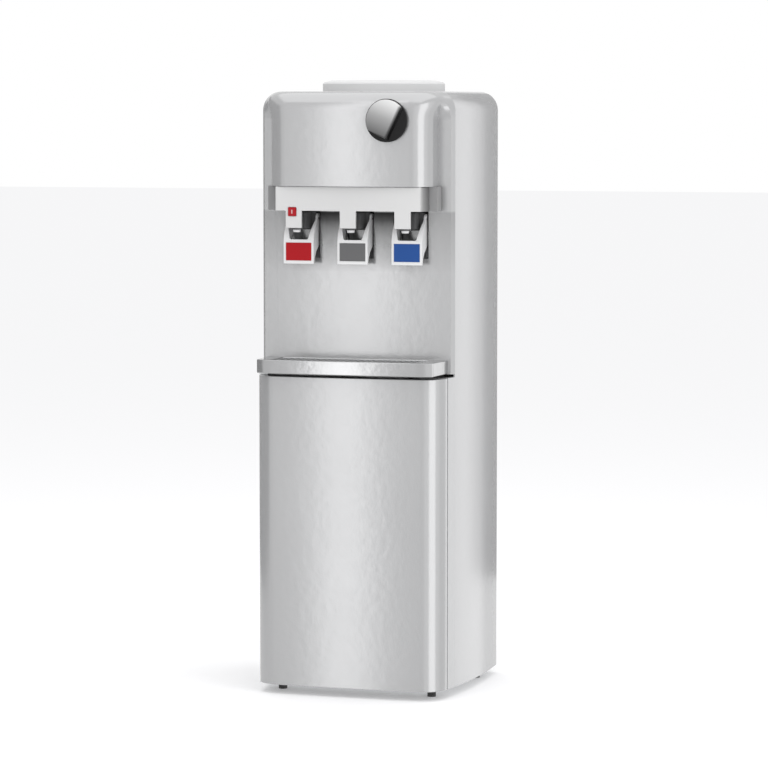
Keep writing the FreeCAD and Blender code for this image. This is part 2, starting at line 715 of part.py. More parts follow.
compressor = newBody("compressor", at=(20, 60, 24))
revolve(compressor, "front", "V_Axis", [
    (0, 0), (50, 0), (62, 12), (62, 75), (65, 75), (65, 81), (62, 81), (62, 118), (50, 136), (30, 146), (0, 150),
])
pad(compressor, "top", 0, 2.5, "forward", rectangle("-80", "80", "-55", "-30"), rectangle("-80", "80", 30, 55))

grommets = newBody("compressor_grommets", at=(20, 60, 16.5))
pad(grommets, "top", 0, 7.4, "forward", *[(x, y, 8) for x in (-70, 70) for y in (-42, 42)])

# Steel panel in the rear opening, pressed inward to hold the condenser.
back = newBody("back_panel")
pad(back, "front", "back_y - 25", 22.3, "back", rectangle("5 - opening_x", "opening_x - 5", "opening_low + 5", "opening_high - 5"))
pad(back, "front", "back_y - 3.9", 1.2, "back", rectangle("-opening_x - 10", "opening_x + 10", "opening_low - 10", "opening_high + 8"))
pocket(back, "front", "back_y", 23.8, "back", rectangle("6.2 - opening_x", "opening_x - 6.2", "opening_low + 6.2", "opening_high - 6.2"))
pocket(back, "front", "back_y - 25", 10, "middle", rectangle(66, 94, 239, 261), (-70, 245, 7.2),
       ("gland_x", "gland_z", 6.7))
vent = pocket(back, "front", "back_y - 25", 10, "middle", rectangle(-90, -10, 90, 95), rectangle(10, 90, 90, 95))
vents = back.newObject("PartDesign::LinearPattern", "vents")
vents.Originals = [vent]
vents.Direction = (vent.Profile[0], ["V_Axis"])
vents.Length = 108
vents.Occurrences = 10
back.Tip = vents
doc.recompute()

# Condenser: six-sided black runs, return bends and upright wires.
condenser = newBody("condenser")
runs, pitch, reach, low, tube = 8, 76, 84, 300, 2.4


def sixSides(across, up, radius):
    corners = [(radius * math.cos(math.radians(60 * i)), radius * math.sin(math.radians(60 * i))) for i in range(6)]
    return [("%s + (%.3f)" % (across, u), "%s + (%.3f)" % (up, v)) for u, v in corners]


def returnBend(body, side, z):
    ring = sketchOn(body, "side", side * reach, sixSides("back_y - 11.5", z - pitch / 2, tube))
    centre = value("back_y - 11.5")
    ring.addGeometry(Part.LineSegment(V(centre - 5, z, 0), V(centre + 5, z, 0)), True)
    bend = body.newObject("PartDesign::Revolution", body.Label + "_bend")
    bend.Profile = ring
    bend.ReferenceAxis = (ring, ["Axis0"])
    bend.Angle = 180
    bend.Reversed = side > 0
    doc.recompute()
    return bend


pad(condenser, "side", 0, reach * 2, "middle",
    *[sixSides("back_y - 11.5", low + pitch * i, tube) for i in range(runs)])
for i in range(runs - 1):
    returnBend(condenser, 1 if i % 2 == 0 else -1, low + pitch * (i + 0.5))
wires = newBody("condenser_wires")
pad(wires, "top", low + pitch * (runs - 1) / 2, pitch * (runs - 1) + 20, "middle",
    *[sixSides(-80.5 + 11.5 * i, "back_y - 8.1", 0.9) for i in range(15)])

# Heating switch, drain and cord gland in the rear panel.
switch = newBody("heating_switch", at=(80, 0, 250))
pad(switch, "front", "back_y - 43.7", 21, "back", rectangle(-13.8, 13.8, -10.8, 10.8))
pad(switch, "front", "back_y - 23.7", 2.2, "back", rectangle(-16, 16, -13, 13))
pocket(switch, "front", "back_y - 21", 12, "back", rectangle(-10.6, 10.6, -8.2, 8.2))
pocket(switch, "side", 0, 25, "middle", ("back_y - 27", 0, 1.55))
rocker = newBody("heating_rocker", at=(80, "back_y - 27", 250))
pad(rocker, "side", 0, 20.6, "middle", [(-4, -5), (7.5, -7), (5.5, 0), (7.5, 7), (-4, 5)])
pad(rocker, "side", 0, 24.8, "middle", (0, 0, 1.5))

drain = newBody("drain_spout", at=(-70, 0, 245))
pad(drain, "front", "back_y - 43", 32, "back", (0, 0, 7), (0, 0, 5))
pad(drain, "front", "back_y - 23.7", 3, "back", (0, 0, 11), (0, 0, 5))
drainCap = newBody("drain_cap", at=(-70, 0, 245))
pad(drainCap, "front", "back_y - 20", 12, "back", (0, 0, 9))
pocket(drainCap, "front", "back_y - 20", 9.2, "forward", (0, 0, 7.05))

gland = newBody("cord_gland", at=("gland_x", 0, "gland_z"))
pad(gland, "front", "back_y - 30", 10, "back", (0, 0, 6.5), (0, 0, 3.6))
pad(gland, "front", "back_y - 23.7", 4, "back", (0, 0, 8.5), (0, 0, 3.6))

nodes = [o for o in doc.Objects if o.isDerivedFrom("PartDesign::Body")]
faults = ["%s: %s" % (o.Name, o.State) for o in doc.Objects if "Invalid" in o.State or "Error" in o.State]
faults += [o.Label + ": no sound shape" for o in nodes if o.Shape.isNull() or not o.Shape.isValid()]
if faults:
    raise SystemExit("\n".join(faults))
os.makedirs("parts", exist_ok=True)
for node in nodes:
    node.Shape.exportStep("parts/%s.step" % node.Label)
print(len(nodes), "parts")
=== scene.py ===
import json
import math
import bmesh
import bpy
from mathutils import Matrix, Vector


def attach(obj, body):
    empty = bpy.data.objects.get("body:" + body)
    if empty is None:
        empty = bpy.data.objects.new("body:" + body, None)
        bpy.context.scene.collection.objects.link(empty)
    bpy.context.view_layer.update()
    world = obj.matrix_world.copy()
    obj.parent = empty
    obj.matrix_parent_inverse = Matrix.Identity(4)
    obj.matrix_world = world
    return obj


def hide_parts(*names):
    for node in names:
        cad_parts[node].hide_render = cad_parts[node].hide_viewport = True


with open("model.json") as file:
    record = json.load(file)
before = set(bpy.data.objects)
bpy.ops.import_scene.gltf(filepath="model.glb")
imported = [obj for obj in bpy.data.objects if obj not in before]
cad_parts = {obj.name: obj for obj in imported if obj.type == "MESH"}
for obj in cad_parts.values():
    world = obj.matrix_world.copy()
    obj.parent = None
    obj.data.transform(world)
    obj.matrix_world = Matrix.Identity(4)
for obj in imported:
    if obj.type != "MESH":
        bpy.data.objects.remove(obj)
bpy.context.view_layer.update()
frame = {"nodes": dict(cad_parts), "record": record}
scene = bpy.context.scene
scene.view_settings.view_transform = "Standard"


class Link:
    # one output socket with arithmetic, so a pattern reads as a sum
    def __init__(self, tree, socket):
        self.tree = tree
        self.socket = socket

    def joined(self, kind, first, second=0.0):
        node = self.tree.nodes.new("ShaderNodeMath")
        node.operation = kind
        for slot, item in zip(node.inputs, (first, second)):
            if isinstance(item, Link):
                self.tree.links.new(item.socket, slot)
            else:
                slot.default_value = item
        return Link(self.tree, node.outputs[0])

    def __add__(self, other):
        return self.joined("ADD", self, other)

    def __radd__(self, other):
        return self.joined("ADD", other, self)

    def __sub__(self, other):
        return self.joined("SUBTRACT", self, other)

    def __rsub__(self, other):
        return self.joined("SUBTRACT", other, self)

    def __mul__(self, other):
        return self.joined("MULTIPLY", self, other)

    def __rmul__(self, other):
        return self.joined("MULTIPLY", other, self)

    def __abs__(self):
        return self.joined("ABSOLUTE", self)

    def orMore(self, other):
        return self.joined("MAXIMUM", self, other)


class Nodes:
    # a shader tree that is written as calls
    def __init__(self, tree):
        self.tree = tree
        tree.nodes.clear()

    def node(self, kind, settings=None, **sockets):
        # a socket goes by its name, or by i and its number
        made = self.tree.nodes.new("ShaderNode" + kind)
        for key, item in (settings or {}).items():
            if key == "stops":
                ramp = made.color_ramp
                while len(ramp.elements) < len(item):
                    ramp.elements.new(0.5)
                for stop, (place, level) in zip(ramp.elements, item):
                    stop.position = place
                    stop.color = (level, level, level, 1)
            else:
                setattr(made, key, item)
        for key, item in sockets.items():
            numbered = key[0] == "i" and key[1:].isdigit()
            slot = made.inputs[int(key[1:]) if numbered else key.replace("_", " ")]
            if isinstance(item, Link):
                self.tree.links.new(item.socket, slot)
            else:
                slot.default_value = item
        return made

    def out(self, kind, output, settings=None, **sockets):
        return Link(self.tree, self.node(kind, settings, **sockets).outputs[output])


class Finish(Nodes):
    # a material under construction
    def __init__(self, name):
        self.material = bpy.data.materials.new(name)
        self.material.use_nodes = True
        super().__init__(self.material.node_tree)

    def noise(self, scale, detail, stretch=(1, 1, 1)):
        place = self.out("Mapping", "Vector", Vector=self.out("TexCoord", "Object"), Scale=stretch)
        return self.out("TexNoise", "Fac", Vector=place, Scale=scale, Detail=detail)

    def ramp(self, place, stops):
        return self.out("ValToRGB", "Color", {"stops": stops}, Fac=place)

    def tint(self, dark, light, factor):
        return self.out("Mix", 2, {"data_type": "RGBA"}, i0=factor, i6=(*dark, 1), i7=(*light, 1))

    def grained(self, height, depth, strength):
        return self.out("Bump", "Normal", None, Height=height, Distance=depth, Strength=strength)

    def close(self, surface):
        self.node("OutputMaterial", None, i0=surface)
        return self.material

    def skin(self, **sockets):
        return self.close(self.out("BsdfPrincipled", 0, None, **sockets))


# scales are repeats in a metre, depths are in metres
grain = {"slow": 6, "fine": 1 / 0.012, "coverFine": 83, "gradedFine": 80, "foamFine": 1 / 0.004, "detail": 2,
         "depth": 0.0004, "foamDepth": 0.001, "strength": 0.35, "drift": 0.03}
gloss = {"slow": 0.06, "fine": 0.03, "middle": 0.045}
drawn = {"scale": 18, "run": (1, 1, 60), "detail": 4, "depth": 0.0002, "strength": 0.3, "dark": 0.86,
         "gloss": 0.12}


def moulded(name, color, roughness, fineScale=grain["fine"], depth=grain["depth"], metallic=0.0, sheen=0.5):
    # moulded or painted surface: fine grain in the bump and a slow drift in tone and gloss
    f = Finish(name)
    slow = f.noise(grain["slow"], grain["detail"])
    fine = f.noise(fineScale, grain["detail"])
    shade = tuple(c * (1 - grain["drift"]) for c in color)
    return f.skin(Base_Color=f.tint(shade, color, slow),
                  Roughness=slow * gloss["slow"] + fine * gloss["fine"] + (roughness - gloss["middle"]),
                  Metallic=metallic, Specular_IOR_Level=sheen,
                  Normal=f.grained(fine, depth, grain["strength"]))


def paintedGradient(name, way, stops, roughness, sheen=0.5, maskWay=None, maskStops=None):
    # a moulding with light and shade painted into its tone along one direction, both ways from the middle,
    # with places in metres
    f = Finish(name)
    spot = f.out("TexCoord", "Object")

    def along(direction, levels):
        far = f.out("VectorMath", "Value", {"operation": "DOT_PRODUCT"}, i0=spot, i1=direction)
        return f.ramp(abs(far), levels)

    tone = along(way, stops)
    if maskWay:
        tone = f.out("Mix", 2, {"data_type": "RGBA", "blend_type": "MULTIPLY"},
                     i0=1.0, i6=tone, i7=along(maskWay, maskStops))
    fine = f.noise(grain["gradedFine"], grain["detail"])
    return f.skin(Base_Color=tone, Roughness=fine * gloss["fine"] + roughness, Specular_IOR_Level=sheen,
                  Normal=f.grained(fine, grain["depth"], grain["strength"]))


def paintedShadowBelowStrip(name, color, roughness, metallic, down, across):
    # the housing's finish with a painted shadow on the wall just below the control strip: darker and more
    # metallic there, so its gloss darkens as well
    f = Finish(name)
    parts = f.node("SeparateXYZ", None, Vector=f.out("TexCoord", "Object"))
    near = f.ramp(abs(Link(f.tree, parts.outputs["X"])), across)
    shade = (1 - f.ramp(Link(f.tree, parts.outputs["Z"]), down)) * near
    slow = f.noise(grain["slow"], grain["detail"])
    fine = f.noise(grain["coverFine"], grain["detail"])
    return f.skin(Base_Color=f.tint((0, 0, 0), color, 1 - shade), Metallic=shade * (1 - metallic) + metallic,
                  Roughness=slow * gloss["slow"] + fine * gloss["fine"] + (roughness - gloss["middle"]),
                  Normal=f.grained(fine, grain["depth"], grain["strength"]))


def sheetMetal(name, color, roughness):
    # drawn sheet, with its lines level
    f = Finish(name)
    lines = f.noise(drawn["scale"], drawn["detail"], drawn["run"])
    shade = tuple(c * drawn["dark"] for c in color)
    return f.skin(Base_Color=f.tint(shade, color, lines), Metallic=1.0,
                  Roughness=lines * drawn["gloss"] + roughness,
                  Normal=f.grained(lines, drawn["depth"], drawn["strength"]))


# painted shadow on the wall below the strip: tone left by height, and how much of that painted shadow holds
# by distance from the middle, in metres
paintedWallShadow = {
    "down": [(0.668, 1.0), (0.688, 0.72), (0.706, 0.56), (0.7235, 0.41), (0.741, 0.21), (0.750, 0.09),
             (0.760, 0.03), (0.7645, 0.02), (0.7655, 1.0)],
    "across": [(0.092, 1.0), (0.106, 0.55), (0.130, 0.25)],
}
# painted shade: the strip's pale front goes dark over its end chamfers
stripPaintedShade = [(0.0, 0.58), (0.1186, 0.60), (0.1190, 0.30), (0.126, 0.10)]   # pale front, darker ends
# painted light and shade on the cap: a painted highlight that brightens towards its top, and a painted dark
# reflection on the far side of its ridge
capPaintedLight = {"way": (0.35, 0, 0.94), "stops": [(0.842, 0.06), (0.856, 0.16), (0.878, 0.34), (0.905, 0.72)],
           "maskWay": (0.902, 0, -0.432), "maskStops": [(0.3166, 0.03), (0.3178, 1.0)]}

finishes = {
    "housing": moulded("housing", (0.435, 0.437, 0.441), 0.19, metallic=0.5),
    # the front cover's finish, with a painted shadow below the control strip
    "cover": paintedShadowBelowStrip("cover", (0.43, 0.432, 0.436), 0.19, 0.5, **paintedWallShadow),
    "shelf": moulded("shelf", (0.42, 0.422, 0.426), 0.16, metallic=0.95),
    # the control strip's finish, with painted shade on its ends
    "control": paintedGradient("control", (1, 0, 0), stripPaintedShade, 0.34),
    # dark grey as painted shade, for the boxes beside the strip
    "barEnd": moulded("barEnd", (0.25, 0.25, 0.252), 0.4, sheen=0.3),
    "collar": moulded("collar", (0.66, 0.662, 0.666), 0.5, sheen=0.3),
    "knobBase": moulded("knobBase", (0.006, 0.006, 0.006), 0.25, sheen=0.15),
    # the knob cap's finish, with painted light and shade
    "knobCap": paintedGradient("knobCap", roughness=0.25, sheen=0.2, **capPaintedLight),
    "pale": moulded("pale", (0.62, 0.42, 0.42), 0.4, sheen=0.2),
    "liner": moulded("liner", (0.78, 0.78, 0.78), 0.5),
    "lever": moulded("lever", (0.72, 0.72, 0.725), 0.3, sheen=0.3),
    "tap": moulded("tap", (0.085, 0.085, 0.087), 0.4, sheen=0.3),
    "tray": moulded("tray", (0.16, 0.16, 0.165), 0.45),
    "grille": moulded("grille", (0.30, 0.305, 0.31), 0.4, metallic=0.3),
    "button": moulded("button", (0.36, 0.008, 0.014), 0.3, sheen=0.15),
    "red": moulded("red", (0.38, 0.008, 0.013), 0.35, sheen=0.12),
    "grey": moulded("grey", (0.13, 0.13, 0.133), 0.35, sheen=0.15),
    "blue": moulded("blue", (0.02, 0.075, 0.27), 0.35, sheen=0.12),
    "silver": moulded("silver", (0.40, 0.402, 0.405), 0.2, metallic=0.9),
    "rubber": moulded("rubber", (0.03, 0.03, 0.03), 0.7),
    "seal": moulded("seal", (0.4, 0.4, 0.4), 0.6),
    "foam": moulded("foam", (0.62, 0.55, 0.36), 0.9, grain["foamFine"], grain["foamDepth"]),
    "black": moulded("black", (0.018, 0.018, 0.019), 0.35),
    "steel": sheetMetal("steel", (0.52, 0.53, 0.54), 0.32),
    "stainless": sheetMetal("stainless", (0.6, 0.6, 0.61), 0.22),
}
print("materials ready:", len(finishes))

slotFinish = {
    "housing_white": "housing", "liner_white": "liner", "collar_white": "housing", "lever_white": "lever",
    "tap_dark": "tap", "grille_grey": "grille", "button_red": "button", "insert_red": "red",
    "insert_grey": "grey", "insert_blue": "blue", "knob_silver": "silver", "steel": "steel",
    "stainless": "stainless", "black_paint": "black", "rubber_black": "rubber", "rubber_grey": "seal",
    "foam": "foam",
}
slotOf = {s["node"]: s["material_slot"] for s in frame["record"]["subparts"]}
bodyOf = {n: b for b, names in frame["record"]["behaviour"]["bodies"].items() for n in names}
for node, thing in frame["nodes"].items():
    thing.data.materials.clear()
    thing.data.materials.append(finishes[slotFinish[slotOf[node]]])


def traced(steps, turn=5, reach=12):
    # steps are (x, y) or (x, y, radius, side) for an arc that ends there, in millimetres
    # an arc's points lie no further apart than turn degrees, nor than about reach millimetres
    points = []
    for i, step in enumerate(steps):
        x, y = step[:2]
        if len(step) > 2:
            px, py = steps[i - 1][:2]
            dx, dy = x - px, y - py
            chord = math.hypot(dx, dy)
            side = 1 if step[3] == "left" else -1
            rise = math.sqrt(max(step[2] ** 2 - chord ** 2 / 4, 0))
            cx = (px + x) / 2 - side * dy / chord * rise
            cy = (py + y) / 2 + side * dx / chord * rise
            first = math.atan2(py - cy, px - cx)
            sweep = 2 * math.asin(min(chord / 2 / step[2], 1)) * side
            count = max(2, math.ceil(abs(math.degrees(sweep)) / turn), math.ceil(chord / reach))
            points += [(cx + step[2] * math.cos(first + sweep * k / count),
                        cy + step[2] * math.sin(first + sweep * k / count)) for k in range(1, count)]
        points.append((x, y))
    return points


def bothSides(half, across=()):
    # the steps of the right half, then the same for the left half, back to the start
    steps = list(half)
    for i in range(len(half) - 1, -1, -1):
        bend = across if i == len(half) - 1 else half[i + 1][2:]
        steps.append((-half[i][0], half[i][1]) + tuple(bend))
    return steps


def rectangle(x0, x1, y0, y1):
    return [(x0, y0), (x1, y0), (x1, y1), (x0, y1)]


def roundHole(x, y, radius):
    ends = ((x + radius, y), (x, y + radius), (x - radius, y), (x, y - radius))
    return [(*end, radius, "left") for end in ends]


def spread(points, count):
    # the same line cut into equal lengths
    lengths = [math.dist(a, b) for a, b in zip(points, points[1:])]
    total, made = sum(lengths), []
    for k in range(count):
        goal, i = total * k / (count - 1), 0
        while i < len(lengths) - 1 and goal > lengths[i]:
            goal -= lengths[i]
            i += 1
        share = min(goal / lengths[i], 1)
        made.append(tuple(p + (q - p) * share for p, q in zip(points[i], points[i + 1])))
    return made


def quarter(radius, rise):
    # how far a quarter round has drawn in at this height above its start
    return radius - math.sqrt(max(radius ** 2 - max(rise, 0) ** 2, 0))


def newObject(name, mesh):
    thing = bpy.data.objects.new(name, mesh)
    scene.collection.objects.link(thing)
    return thing


def emptyObject(name):
    return newObject(name, bpy.data.meshes.new(name))


def lofted(name, rings):
    # a closed skin through rings of points in millimetres
    form = bmesh.new()
    loops = [[form.verts.new(Vector(point) / 1000) for point in ring] for ring in rings]
    for low, high in zip(loops, loops[1:]):
        for i in range(len(low)):
            j = (i + 1) % len(low)
            form.faces.new((low[i], low[j], high[j], high[i]))
    form.faces.new(loops[0][::-1])
    form.faces.new(loops[-1])
    bmesh.ops.recalc_face_normals(form, faces=form.faces)
    mesh = bpy.data.meshes.new(name)
    form.to_mesh(mesh)
    form.free()
    return newObject(name, mesh)


def solid(name, plane, low, high, steps, turn=5):
    # an outline seen from the top or the front, drawn out between two heights or two depths
    outline = traced(steps, turn)
    if plane == "top":
        return lofted(name, [[(u, v, w) for u, v in outline] for w in (low, high)])
    return lofted(name, [[(u, w, v) for u, v in outline] for w in (low, high)])


def baked(thing):
    graph = bpy.context.evaluated_depsgraph_get()
    mesh = bpy.data.meshes.new_from_object(thing.evaluated_get(graph))
    thing.modifiers.clear()
    old, thing.data = thing.data, mesh
    bpy.data.meshes.remove(old)
    return thing


def combine(thing, kind, *others):
    for other in others:
        step = thing.modifiers.new("step", "BOOLEAN")
        step.operation = kind
        step.solver = "EXACT"
        step.object = other
    baked(thing)
    for other in others:
        bpy.data.objects.remove(other)
    return thing


def cut(thing, *others):
    return combine(thing, "DIFFERENCE", *others)


def add(thing, *others):
    return combine(thing, "UNION", *others)


def joined(name, *things):
    form = bmesh.new()
    for thing in things:
        form.from_mesh(thing.data)
        bpy.data.objects.remove(thing)
    mesh = bpy.data.meshes.new(name)
    form.to_mesh(mesh)
    form.free()
    return newObject(name, mesh)


smooth = {"merge": 1e-6, "flat": math.radians(0.03), "sharp": math.radians(40)}


def softened(thing, edge, steps=2, angle=28):
    # small rounds on the sharp edges, then even shading over the flats
    form = bmesh.new()
    form.from_mesh(thing.data)
    bmesh.ops.remove_doubles(form, verts=form.verts, dist=smooth["merge"])
    bmesh.ops.dissolve_limit(form, angle_limit=smooth["flat"], verts=form.verts, edges=form.edges)
    bmesh.ops.dissolve_degenerate(form, edges=form.edges, dist=smooth["merge"])
    for face in form.faces:
        face.smooth = True
    form.to_mesh(thing.data)
    form.free()
    if edge:
        bevel = thing.modifiers.new("edge", "BEVEL")
        bevel.width = edge / 1000
        bevel.segments = steps
        bevel.limit_method = "ANGLE"
        bevel.angle_limit = math.radians(angle)
        bevel.use_clamp_overlap = True
        bevel.miter_outer = "MITER_ARC"
        baked(thing)
    thing.data.set_sharp_from_angle(angle=smooth["sharp"])
    even = thing.modifiers.new("even", "WEIGHTED_NORMAL")
    even.keep_sharp = True
    return baked(thing)


def finished(thing, finish, body, slot, *nodes):
    thing.data.materials.clear()
    thing.data.materials.append(finishes[finish])
    for face in thing.data.polygons:
        face.material_index = 0
    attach(thing, body)
    if nodes:
        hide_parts(*nodes)
    return thing


# rear shell: horizontal rings that draw in towards the top
shell = {"seamX": 158.5, "seamY": -80, "rearX": 163.1, "bow": 980, "back": 163, "low": 15, "top": 951,
         "sideRound": 30, "backRound": 20, "wall": 2.5, "innerLow": 10, "mouthLow": 11, "mouthHigh": 914.5,
         "mouthDeep": 5, "openX": 135, "openLow": 60, "openHigh": 905, "seatY": 54, "seatHole": 92,
         "cutPast": 10, "bowTurn": 0.6, "roundTurn": 6, "edge": 0.7}


def shellForm(s, inset, low, high):
    backRound, sideRound = s["backRound"] - inset, s["sideRound"] - inset
    back = s["back"] - inset
    seam, rear = (s["seamX"] - inset, s["seamY"]), (s["rearX"] - inset, back)
    side = traced([seam, (*rear, s["bow"], "left")], s["bowTurn"])
    side = [point for point in side if point[1] < back - backRound]
    endX = side[-1][0] - 0.4   # the bow has come in a little where the round starts
    half = side + [(endX, back - backRound), (endX - backRound, back, backRound, "left")]
    outline = traced(bothSides(half), s["roundTurn"])
    start = high - sideRound
    levels = [low] + [start + sideRound * math.sin(math.radians(a)) for a in range(0, 91, s["roundTurn"])]
    rings = []
    for z in levels:
        draw = quarter(sideRound, z - start)
        rings.append([(x - math.copysign(min(draw, abs(x)), x), y, z) for x, y in outline])
    return lofted("rearShell", rings)


def makeRearShell(s):
    shellPiece = shellForm(s, 0, s["low"], s["top"])
    inner = shellForm(s, s["wall"], s["innerLow"], s["top"] - s["wall"])
    inner.data.transform(Matrix.Translation((0, -0.0001, 0)))   # no two faces in one plane at the seam
    mouthHalf = s["seamX"] - s["wall"]
    cut(shellPiece, inner,
        solid("mouth", "top", s["mouthLow"], s["mouthHigh"],
              rectangle(-mouthHalf, mouthHalf, s["seamY"] - s["mouthDeep"], s["seamY"] + s["mouthDeep"])),
        solid("opening", "front", s["back"] - s["cutPast"], s["back"] + s["cutPast"],
              rectangle(-s["openX"], s["openX"], s["openLow"], s["openHigh"])),
        solid("seatHole", "top", s["top"] - s["cutPast"], s["top"] + s["cutPast"],
              roundHole(0, s["seatY"], s["seatHole"])))
    softened(shellPiece, s["edge"])
    return finished(shellPiece, "housing", "housing", "housing_white", "rear_shell")


print("rear shell", len(makeRearShell(shell).data.polygons))

tapsAt = (-89, 0, 89)   # the middle of each tap

# front cover: one bowed wall from side to side, with the head standing out of it
cover = {"low": 510, "top": 951, "seamX": 158.5, "seamY": -80, "wallX": 153.6, "wallMiddle": -89.5,
         "bow": 4200, "wall": 2.5, "round": 30, "brow": 28, "headLow": 803.5, "headFront": -144,
         "headBow": 1600, "turnX": 101, "turnY": -140.81, "turn": 34, "sideX": 132.4, "sideY": -112.8,
         "rootX": 133.4, "blendX": 150, "blendY": -95, "blend": 53, "fadeLow": 906, "fadeHigh": 944,
         "fadeSteps": 12, "barLow": 765, "barTop": 805.5, "barEndX": 125.9, "barEndY": -112.9,
         "barInX": 117.7, "barInY": -127.4, "barRootX": 131, "barBackY": -84, "insideX": 110,
         "insideTop": 945, "behindX": 150, "behindTop": 769, "evenX": 120, "nicheX": 28.5, "nicheLow": 690,
         "nicheY": -68, "nicheFront": -99.5, "edge": 0.9, "edgeSteps": 3, "bowTurn": 0.4, "turnTurn": 2,
         "roundTurn": 5}
# points along each stretch of the head's outline, from the seam to the middle
headPoints = {"seam": 5, "wall": 8, "root": 7, "turn": 25, "front": 14, "blend": 38}


def wallAt(c, x):
    # how far forward the bowed wall is at this distance from the middle
    return c["wallMiddle"] + x * x / (2 * c["bow"])


def headForm(c, n):
    # one outline has a clear corner beside the head, one blends into the side, and the rings fade from
    # the first to the second towards the top
    seam, edge = (c["seamX"], c["seamY"]), (c["wallX"], wallAt(c, c["wallX"]))
    root, side = (c["rootX"], wallAt(c, c["rootX"])), (c["sideX"], c["sideY"])
    turned, blend = (c["turnX"], c["turnY"]), (c["blendX"], c["blendY"])
    front = spread(traced([turned, (0, c["headFront"], c["headBow"], "right")], c["bowTurn"]), n["front"])[1:]
    corner = spread(traced([side, (*turned, c["turn"], "right")], c["turnTurn"]), n["turn"])
    stepped = spread([seam, edge], n["seam"])[:-1] + spread([edge, root], n["wall"])[:-1]
    stepped += spread([root, side], n["root"])[:-1] + corner + front
    blended = spread([seam, blend], n["seam"])[:-1]
    blended += spread(traced([blend, (*turned, c["blend"], "right")], c["turnTurn"]), n["blend"]) + front
    start, fadeTall = c["top"] - c["round"], c["fadeHigh"] - c["fadeLow"]
    rounded = [start + c["round"] * math.sin(math.radians(a)) for a in range(0, 91, c["roundTurn"])]
    fade = [c["fadeLow"] + fadeTall * k / c["fadeSteps"] for k in range(c["fadeSteps"] + 1)]
    rings = []
    for z in sorted([c["headLow"]] + [level for level in fade if level < start - 1] + rounded):
        share = min(max((z - c["fadeLow"]) / fadeTall, 0), 1)
        share = share * share * (3 - 2 * share)
        narrow = 1 - quarter(c["round"], z - start) / c["seamX"]
        pull = quarter(c["brow"], z - c["top"] + c["brow"])
        half = []
        for (ax, ay), (bx, by) in zip(stepped, blended):
            x, y = ax + (bx - ax) * share, ay + (by - ay) * share
            forward = (c["seamY"] - y) / (c["seamY"] - c["headFront"])
            half.append((x * narrow, y + pull * forward ** 2, z))
        rings.append(half + [(-x, y, z) for x, y, z in half[-2::-1]])
    return lofted("head", rings)


def makeFrontCover(c):
    piece = solid("frontCover", "top", c["low"], c["barTop"], bothSides([
        (c["seamX"], c["seamY"]), (c["wallX"], wallAt(c, c["wallX"]))], (c["bow"], "right")))
    add(piece, solid("barBlock", "top", c["barLow"], c["barTop"], bothSides([
        (c["barRootX"], c["barBackY"]), (c["barRootX"], wallAt(c, c["barRootX"])),
        (c["barEndX"], c["barEndY"]), (c["barInX"], c["barEndY"]), (c["barInX"], c["barInY"])])))
    add(piece, headForm(c, headPoints))
    wallBack = wallAt(c, c["evenX"]) + c["wall"]   # a flat back, so the wall is thickest in the middle
    cut(piece,
        solid("inside", "front", c["barEndY"] + c["wall"], c["seamY"] + 1,
              rectangle(-c["insideX"], c["insideX"], c["barLow"] + c["wall"], c["insideTop"])),
        solid("behind", "front", wallBack, c["seamY"] + 1,
              rectangle(-c["behindX"], c["behindX"], c["low"] + c["wall"], c["behindTop"])))
    boxX = c["nicheX"] + c["wall"]
    add(piece, *[solid("box", "front", wallBack - 1, c["nicheY"] + c["wall"], rectangle(
        x - boxX, x + boxX, c["nicheLow"] - c["wall"], c["barLow"] + c["wall"])) for x in tapsAt])
    cut(piece, *[solid("niche", "front", c["nicheFront"], c["nicheY"], rectangle(
        x - c["nicheX"], x + c["nicheX"], c["nicheLow"], c["barLow"])) for x in tapsAt])
    softened(piece, c["edge"], c["edgeSteps"])
    return finished(piece, "cover", "housing", "housing_white", "front_cover")


print("front cover", len(makeFrontCover(cover).data.polygons))

# control strip with its tongues, its ends darkened as painted shade, and two dark boxes beside it as painted
# shade
strip = {"low": 765, "high": 802.8, "inX": 117.7, "inY": -127.7, "rootX": 125.9, "rootY": -112.9, "x": 118.7,
         "y": -136, "tongueHalf": 13, "tongueLow": 738, "tongueHigh": 769, "tongueDeep": 5, "buttonX": -91,
         "buttonZ": 763.5, "buttonHalf": 6.7, "buttonTall": 6.9, "holeFront": -138, "holeBack": -125,
         "edge": 0.9, "edgeSteps": 3}
shadedStripEnd = {"inX": 126, "outX": 139, "front": -112.9, "back": -89.5, "low": 765.2, "high": 803.4, "edge": 0.6}


def makeStrip(s):
    piece = solid("controlBar", "top", s["low"], s["high"], bothSides([
        (s["inX"], s["inY"]), (s["inX"], s["rootY"]), (s["rootX"], s["rootY"]), (s["x"], s["y"])]))
    for x in tapsAt:
        add(piece, solid("tongue", "front", s["y"], s["y"] + s["tongueDeep"], rectangle(
            x - s["tongueHalf"], x + s["tongueHalf"], s["tongueLow"], s["tongueHigh"])))
    cut(piece, solid("hole", "front", s["holeFront"], s["holeBack"], rectangle(
        s["buttonX"] - s["buttonHalf"], s["buttonX"] + s["buttonHalf"],
        s["buttonZ"] - s["buttonTall"], s["buttonZ"] + s["buttonTall"])))
    softened(piece, s["edge"], s["edgeSteps"])
    finished(piece, "control", "housing", "housing_white", "control_bar")


# two dark boxes beside the strip, their dark tone painted shade
def makeShadedStripEnds(s):
    sides = ((s["inX"], s["outX"]), (-s["outX"], -s["inX"]))
    ends = add(emptyObject("barEnds"), *[solid(
        "barEnd", "top", s["low"], s["high"], rectangle(*side, s["front"], s["back"])) for side in sides])
    softened(ends, s["edge"])
    finished(ends, "barEnd", "housing", "housing_white")


makeStrip(strip)
makeShadedStripEnds(shadedStripEnd)

